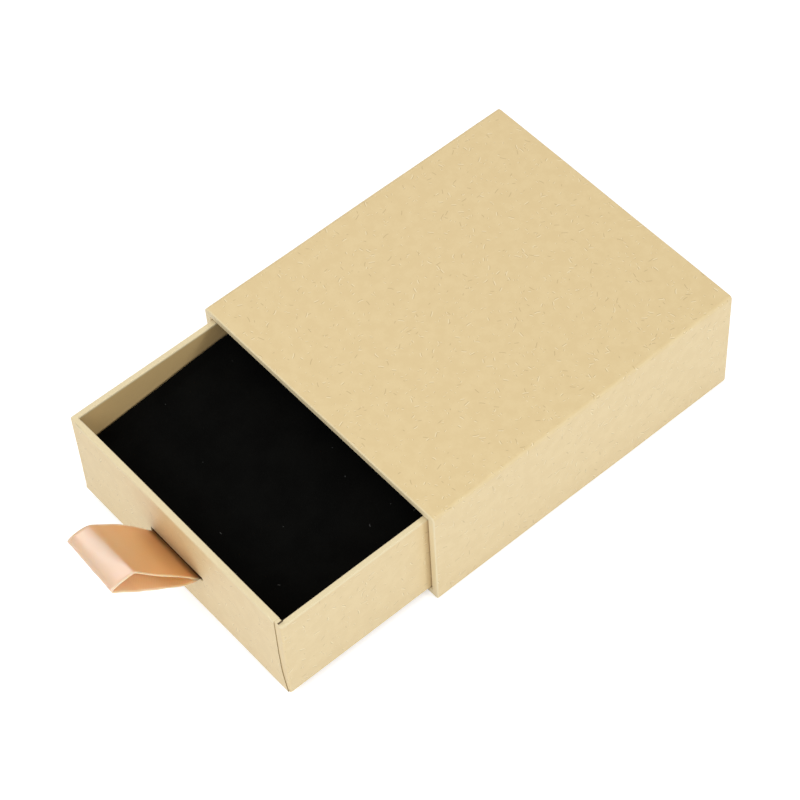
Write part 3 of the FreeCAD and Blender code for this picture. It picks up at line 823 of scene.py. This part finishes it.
def cut_nicks(mesh, wall):
    """Where the flaps meet at an inner corner of the rim, a nick shows the board.

    Four fifths of its width lie over the side wall. The front left corner is closed.
    """
    left, right = tray_low.x + wall - 0.8 * NICK_WIDTH, tray_high.x - wall - 0.2 * NICK_WIDTH
    front, back = tray_low.y + NICK_SET, tray_high.y - NICK_SET - NICK_LENGTH
    for x, y in ((left, back), (right, front), (right, back)):
        low = Vector((x, y, tray_high.z - NICK_DEPTH))
        cut_opening(mesh, low, low + Vector((NICK_WIDTH, NICK_LENGTH, NICK_DEPTH + PAPER)))


# %% Bottom and side flaps
def drawer_skin():
    """Bottom and side flaps, with the layer under the end flaps."""
    low = tray_low + Vector((0, PAPER, 0))
    high = tray_high - Vector((0, PAPER, 0))
    wall = high.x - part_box("drawer_right_board")[0].x + PAPER
    mesh = open_box(low, high, Z, 1, wall, DRAWER_TURN_IN)
    round_edges(mesh, edges_along(mesh, low, high, Z), DRAWER_CORNER_ROUND, 5)
    round_edges(mesh, [edge for edge in mesh.edges if on_plane(edge, Z, low.z)], DRAWER_FOLD)
    round_lip(mesh, Z, high.z, -DRAWER_TURN_IN, DRAWER_FOLD, DRAWER_INNER_FOLD)
    cut_slot(mesh)
    cut_nicks(mesh, wall)
    # The end flaps bring a rim and a turn-in of their own, so these go between the corner tabs.
    clear = high.x - wall - END_TAB
    for y in (low.y + 2 * PAPER, high.y - 2 * PAPER - wall):
        corner = Vector((-clear, y, high.z - DRAWER_TURN_IN - PAPER))
        cut_opening(mesh, corner, Vector((clear, y + wall, high.z + PAPER)))
    for axis in (X, Y, Z):
        slice_mesh(mesh, axis, low[axis], high[axis], PANEL_STEP)
    return mesh


# %% End flaps
SEAM_INSET = [(0.0, 0.42), (0.04, 0.66), (0.12, 1.05), (0.28, 1.62), (0.55, 1.95), (1.0, 2.05)]
SEAM_LIFT = 0.03 * MM
FLAP_LIFT = PAPER / 3
FLAP_STEP = 0.6 * MM
OUTER_SHARE = 0.14
LIFT_FADE, LIFT_STRETCH, LIFT_SKEW = 6, 1.3, 0.6


def seam_inset(height):
    """How far the flap's cut edge stays from the corner, at a height from 0 to 1.

    The table gives heights and the millimetres there, and the way between them is straight.
    """
    for (start, first), (end, last) in zip(SEAM_INSET, SEAM_INSET[1:]):
        if height <= end:
            return (first + (last - first) * (height - start) / (end - start)) * MM
    return SEAM_INSET[-1][1] * MM


def seam_lift(height, near_edge):
    """How far the flap stands off: most at a quarter of its height, none over three quarters."""
    swell = math.sin(math.pi * (height * LIFT_STRETCH) ** LIFT_SKEW)
    return SEAM_LIFT * near_edge ** LIFT_FADE * max(0.0, swell)


def end_flap(outer, inward, slotted):
    """An end flap: up the wall, over the rim and in, with its cut edges beside the corners."""
    board_low, board_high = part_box("drawer_front_board")
    wall = board_high.y - board_low.y + 3 * PAPER + FLAP_LIFT
    inner = outer + inward * wall
    low = Vector((tray_low.x, min(outer, inner), tray_low.z + DRAWER_FOLD))
    high = Vector((tray_high.x, max(outer, inner), tray_high.z + FLAP_LIFT))
    mesh = cube_between(low, high)
    dropped = [face for face in mesh.faces
               if on_plane(face, X, low.x) or on_plane(face, X, high.x) or on_plane(face, Z, low.z)]
    bmesh.ops.delete(mesh, geom=dropped, context="FACES")
    for vertex in mesh.verts:
        if abs(vertex.co.y - inner) < NEAR and vertex.co.z < low.z + NEAR:
            vertex.co.z = high.z - DRAWER_TURN_IN
    folds = [edge for edge in mesh.edges if on_plane(edge, Z, high.z) and not edge.is_boundary]
    round_edges(mesh, folds, DRAWER_FOLD)
    if slotted:
        cut_slot(mesh)
    slice_mesh(mesh, X, low.x, high.x, PANEL_STEP)
    slice_mesh(mesh, Z, low.z, high.z, FLAP_STEP)
    for vertex in mesh.verts:
        height = max(0.0, (vertex.co.z - low.z) / (high.z - low.z))
        share = abs(vertex.co.x) / high.x
        near_edge = max(0.0, (share - (1 - OUTER_SHARE)) / OUTER_SHARE)
        vertex.co.x -= math.copysign(seam_inset(height) * near_edge, vertex.co.x)
        if abs(vertex.co.y - outer) < NEAR:
            vertex.co.y -= inward * seam_lift(height, near_edge)
    bmesh.ops.recalc_face_normals(mesh, faces=mesh.faces)
    return mesh


def join_into(mesh, other):
    """Add another bmesh's geometry to this one."""
    data = bpy.data.meshes.new("joined")
    other.to_mesh(data)
    other.free()
    mesh.from_mesh(data)
    bpy.data.meshes.remove(data)


# %% Drawer paper
def drawer_paper():
    mesh = drawer_skin()
    join_into(mesh, end_flap(tray_low.y, 1, True))
    join_into(mesh, end_flap(tray_high.y, -1, False))
    hand_made(mesh, depth=0.06 * MM, length=20 * MM, salt=8.4, level=tray_low.z)
    # The cut edges take the painted shade of the edge material.
    piece = finish_piece(
        mesh, "drawer_paper", "drawer", drawer_kraft, PAPER, edge=painted_shade_edge)
    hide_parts("drawer_wrap")


drawer_paper()

# %% [markdown]
# ## The velvet pad
# The pad is a foam block, pressed into the drawer under a velvet cover. Its top slopes down to the
# front, where the block is tucked in. The cover is one shell, open underneath, that lies over the
# foam with rounded edges, so it starts as a cube without its base, and its top is lowered along the
# slope. A fine grid and smooth noise give it the slightly uneven lie of cloth over foam.

# %% Velvet cover
PAD_ROUND = 1 * MM
PAD_DIP = 3.5 * MM
PAD_DIP_LENGTH = 33 * MM
PAD_EASE = 3.2 * MM
PAD_TOP_STEP, PAD_SIDE_STEP = 1 * MM, 2 * MM
STEEP, LEVEL = 0.1, 0.9
VELVET = 0.5 * MM


def pad_drop(behind):
    """How far the top lies below its level part, at a distance behind the pad's front edge."""
    slope = PAD_DIP / PAD_DIP_LENGTH
    short = PAD_DIP_LENGTH - behind
    if short > PAD_EASE:
        return slope * short
    if short < -PAD_EASE:
        return 0.0
    return slope * (short + PAD_EASE) ** 2 / (4 * PAD_EASE)


def velvet_cover():
    low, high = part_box("velvet_cover")
    mesh = cube_between(low, high)
    base = [face for face in mesh.faces if on_plane(face, Z, low.z)]
    bmesh.ops.delete(mesh, geom=base, context="FACES_ONLY")
    slice_mesh(mesh, Y, low.y, high.y, PAD_TOP_STEP)
    for vertex in mesh.verts:
        if vertex.co.z > high.z - NEAR:
            vertex.co.z -= pad_drop(vertex.co.y - low.y)
    rim = []
    for edge in mesh.edges:
        upward = sorted(face.normal.z for face in edge.link_faces)
        if len(upward) == 2 and upward[0] < STEEP and upward[1] > LEVEL:
            rim.append(edge)
    round_edges(mesh, rim, PAD_ROUND, 5)
    slice_mesh(mesh, X, low.x, high.x, PAD_TOP_STEP)
    slice_mesh(mesh, Z, low.z, high.z, PAD_SIDE_STEP)
    hand_made(mesh, depth=0.12 * MM, length=9 * MM, salt=5.5)
    piece = finish_piece(mesh, "velvet_pad", "drawer", plush, VELVET)
    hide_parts("velvet_cover")


velvet_cover()

# %% [markdown]
# ## The ribbon pull
# The pull is one strip of 15 mm satin ribbon. Both ends go in through the slot and are taped down
# inside, and outside it stands up as a folded loop: up from the slot, over a crease, a short flat
# band, round the tip, and back under. It could be a bent plate, but cloth never folds quite square.
# The strip has one width all along, so two routes are enough, one for each edge, with the same
# number of points; the cloth is bridged between them. Each route is a smooth NURBS line that is led
# by listed points, closer together where the fold is tight.

# %% Ribbon routes: millimetres out from the drawer's front, and above the slot
TAIL_DEPTH = 8.5
RIGHT_ROUTE = [
    (-1.75, -TAIL_DEPTH), (-1.75, -1.5), (-1.7, -0.10), (0.0, -0.05), (0.6, 0.3), (3.8, 4.4),
    (7.5, 8.5), (9.8, 11.3), (12.4, 14.6), (13.5, 16.1), (14.3, 16.35), (16.3, 16.25),
    (17.6, 16.0), (18.9, 15.6), (19.35, 15.2), (18.9, 14.5), (17.3, 12.9), (15.5, 11.2),
    (13.0, 8.8), (10.5, 6.6), (7.4, 3.9), (4.6, 1.5), (2.2, -0.1), (0.6, -0.35), (-1.1, -0.36),
    (-1.4, -1.5), (-1.4, -TAIL_DEPTH),
]
LEFT_ROUTE = [
    (-1.75, -TAIL_DEPTH), (-1.75, -1.5), (-1.7, -0.10), (0.0, -0.05), (0.6, 0.3), (3.7, 4.9),
    (7.1, 9.2), (9.4, 11.6), (11.8, 13.9), (12.9, 14.8), (13.8, 15.35), (15.3, 15.85),
    (16.7, 15.85), (18.0, 15.45), (18.6, 14.8), (18.2, 13.9), (16.6, 12.3), (14.9, 10.8),
    (12.5, 8.6), (10.2, 6.4), (7.2, 3.8), (4.5, 1.5), (2.2, -0.1), (0.6, -0.35), (-1.1, -0.36),
    (-1.4, -1.5), (-1.4, -TAIL_DEPTH),
]
print("route points", len(LEFT_ROUTE), "and", len(RIGHT_ROUTE))

# %% From routes to a strip
ROUTE_STEPS = 8
ROUTE_ORDER = 3
WIDTH_STEPS = 24
RIBBON_THICK = 0.22 * MM
ARCH_RISE, ARCH_TILT = 0.24 * MM, 0.20 * MM
ARCH_REACH = 5 * MM
RUN_BELOW = 0.2 * MM


def route_points(route, x):
    """Points along a smooth NURBS line through the route, at one x."""
    curve = bpy.data.curves.new("route", "CURVE")
    curve.dimensions = "3D"
    curve.resolution_u = ROUTE_STEPS
    line = curve.splines.new("NURBS")
    line.points.add(len(route) - 1)
    for point, (out, rise) in zip(line.points, route):
        point.co = (x, tray_low.y - out * MM, SLOT_Z + rise * MM, 1)
    line.order_u = ROUTE_ORDER
    line.use_endpoint_u = True
    helper = bpy.data.objects.new("route", curve)
    bpy.context.collection.objects.link(helper)
    graph = bpy.context.evaluated_depsgraph_get()
    data = bpy.data.meshes.new_from_object(helper.evaluated_get(graph))
    points = [vertex.co.copy() for vertex in data.vertices]
    bpy.data.objects.remove(helper)
    bpy.data.curves.remove(curve)
    bpy.data.meshes.remove(data)
    return points


def share_across(place):
    """How far across the ribbon a place lies, from 0 at its left edge to 1 at its right."""
    return (place.x - ribbon_low.x) / (ribbon_high.x - ribbon_low.x)


def strip_between(left, right):
    """Cloth bridged between two routes, with even steps across its width."""
    mesh = bmesh.new()
    chains = []
    for points in (left, right):
        verts = [mesh.verts.new(point) for point in points]
        chains.append([mesh.edges.new(pair) for pair in zip(verts, verts[1:])])
    bmesh.ops.bridge_loops(mesh, edges=chains[0] + chains[1])
    rungs = [edge for edge in mesh.edges
             if abs(edge.verts[0].co.x - edge.verts[1].co.x) > 1 * MM]
    bmesh.ops.subdivide_edges(mesh, edges=rungs, cuts=WIDTH_STEPS - 1, use_grid_fill=True)
    return mesh


def map_weave(mesh, left, right):
    """The weave's UV map in millimetres: across the strip, and along it by its right edge."""
    lengths = [0.0]
    for a, b in zip(right, right[1:]):
        lengths.append(lengths[-1] + (b - a).length)
    print("ribbon length", round(lengths[-1] / MM, 1), "points", len(right))
    weave = mesh.loops.layers.uv.new("weave")
    for face in mesh.faces:
        for loop in face.loops:
            spot = loop.vert.co
            share = share_across(spot)
            gaps = [(a.lerp(b, share) - spot).length for a, b in zip(left, right)]
            loop[weave].uv = (share * RIBBON_WIDTH, lengths[gaps.index(min(gaps))] / MM)


def arch_at_slot(mesh):
    """Arch the upper run a little across its width where it leaves the slot."""
    for vertex in mesh.verts:
        out = max(0.0, tray_low.y - vertex.co.y)
        upper = vertex.co.z > SLOT_Z + out / 2 - RUN_BELOW
        if upper and out < ARCH_REACH:
            share = share_across(vertex.co)
            lift = ARCH_RISE * 4 * share * (1 - share) + ARCH_TILT * (0.5 - share)
            vertex.co.z += lift * (1 - out / ARCH_REACH) ** 2


# %% Ribbon
def ribbon_pull():
    left, right = route_points(LEFT_ROUTE, ribbon_low.x), route_points(RIGHT_ROUTE, ribbon_high.x)
    mesh = strip_between(left, right)
    map_weave(mesh, left, right)
    arch_at_slot(mesh)
    hand_made(mesh, depth=0.10 * MM, length=3.5 * MM, salt=2.2)
    piece = finish_piece(mesh, "ribbon", "drawer", silk, RIBBON_THICK, silk_back_glow)
    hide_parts("ribbon_pull")


ribbon_pull()

# %% [markdown]
# ## Floor, world and lamps
# The box stands on plain white. The world is an even dome. It is pure white to the camera and in
# reflections, and it lights the box with less than that, which leaves room for the lamps. Four soft
# boxes add the shape: a long key high on the left, one high in front, and two lower ones on the
# right, before and behind.
# The floor is a matt white sheet. To the camera it has a glow of its own, so that it reads as white
# and still keeps the box's shadow. To all other rays it gives a weaker light of a cool tint, less
# where the box stands close, so that the shade at its foot stays deep.

# %% Floor
FLOOR_SIZE = 3
FLOOR_WHITE = 0.86
FLOOR_GLOW = 0.44
FLOOR_LIGHT = 0.30
GLOW_TINT = (0.60, 0.72, 1.04)
CONTACT = 6 * MM


def white_floor():
    mesh = bmesh.new()
    bmesh.ops.create_grid(mesh, x_segments=1, y_segments=1, size=FLOOR_SIZE)
    data = bpy.data.meshes.new("floor")
    mesh.to_mesh(data)
    mesh.free()
    floor = bpy.data.objects.new("floor", data)
    bpy.context.collection.objects.link(floor)
    material, graph = new_graph("floor")
    matt = graph.node("ShaderNodeBsdfDiffuse", None, {"Color": (FLOOR_WHITE,) * 3})["BSDF"]
    seen = graph.node("ShaderNodeLightPath")["Is Camera Ray"]
    open_air = graph.node("ShaderNodeAmbientOcclusion", None, {"Distance": CONTACT})["AO"]
    tint = graph.mix(open_air, (0, 0, 0), GLOW_TINT)
    sockets = {"Color": tint, "Strength": FLOOR_LIGHT}
    given = graph.node("ShaderNodeEmission", None, sockets)["Emission"]
    white = graph.node("ShaderNodeEmission", None, {"Strength": FLOOR_GLOW})["Emission"]
    glow = graph.node("ShaderNodeMixShader", None, {0: seen, 1: given, 2: white})["Shader"]
    graph.output(graph.node("ShaderNodeAddShader", None, {0: matt, 1: glow})["Shader"])
    data.materials.append(material)


white_floor()

# %% World
DOME_LIGHT = 0.63


def white_dome():
    world = bpy.data.worlds.new("studio")
    bpy.context.scene.world = world
    world.use_nodes = True
    graph = Graph(world.node_tree)
    path = graph.node("ShaderNodeLightPath")
    seen = path["Is Camera Ray"].larger(path["Is Glossy Ray"]).larger(path["Is Transmission Ray"])
    dome = graph.node("ShaderNodeBackground", None, {"Strength": DOME_LIGHT})["Background"]
    white = graph.node("ShaderNodeBackground", None, {"Strength": 1.0})["Background"]
    mixed = graph.node("ShaderNodeMixShader", None, {0: seen, 1: dome, 2: white})["Shader"]
    graph.node("ShaderNodeOutputWorld", None, {"Surface": mixed})


white_dome()
print("world", bpy.context.scene.world.name)

# %% Lamps: place in metres, width and length in metres, power in watts, colour
LAMPS = {
    "key": ((-0.32, 0.11, 0.525), (0.10, 0.50), 0.76, (0.98, 0.96, 1.0)),
    "front_top": ((0.05, -0.50, 0.47), (0.30, 0.30), 1.50, (0.92, 0.97, 1.07)),
    "front_right": ((0.56, -0.28, 0.36), (0.30, 0.30), 0.50, (0.87, 0.95, 1.11)),
    "back_right": ((0.58, 0.22, 0.30), (0.16, 0.16), 1.25, (0.87, 0.95, 1.10)),
}


def soft_box(name, place, size, power, colour):
    """An area lamp aimed at the box, its length running as nearly along the box as it can."""
    data = bpy.data.lights.new(name, "AREA")
    data.shape = "RECTANGLE"
    data.size, data.size_y = size
    data.energy = power
    data.color = colour
    lamp = bpy.data.objects.new(name, data)
    bpy.context.collection.objects.link(lamp)
    back = (Vector(place) - AIM).normalized()
    side = unit(Y).cross(back).normalized()
    axes = Matrix((side, back.cross(side), back)).transposed().to_4x4()
    lamp.matrix_world = Matrix.Translation(place) @ axes


for lamp_name, settings in LAMPS.items():
    soft_box(lamp_name, *settings)
print("lamps", len(bpy.data.lights))

# %% Colour view
bpy.context.scene.view_settings.view_transform = "Standard"
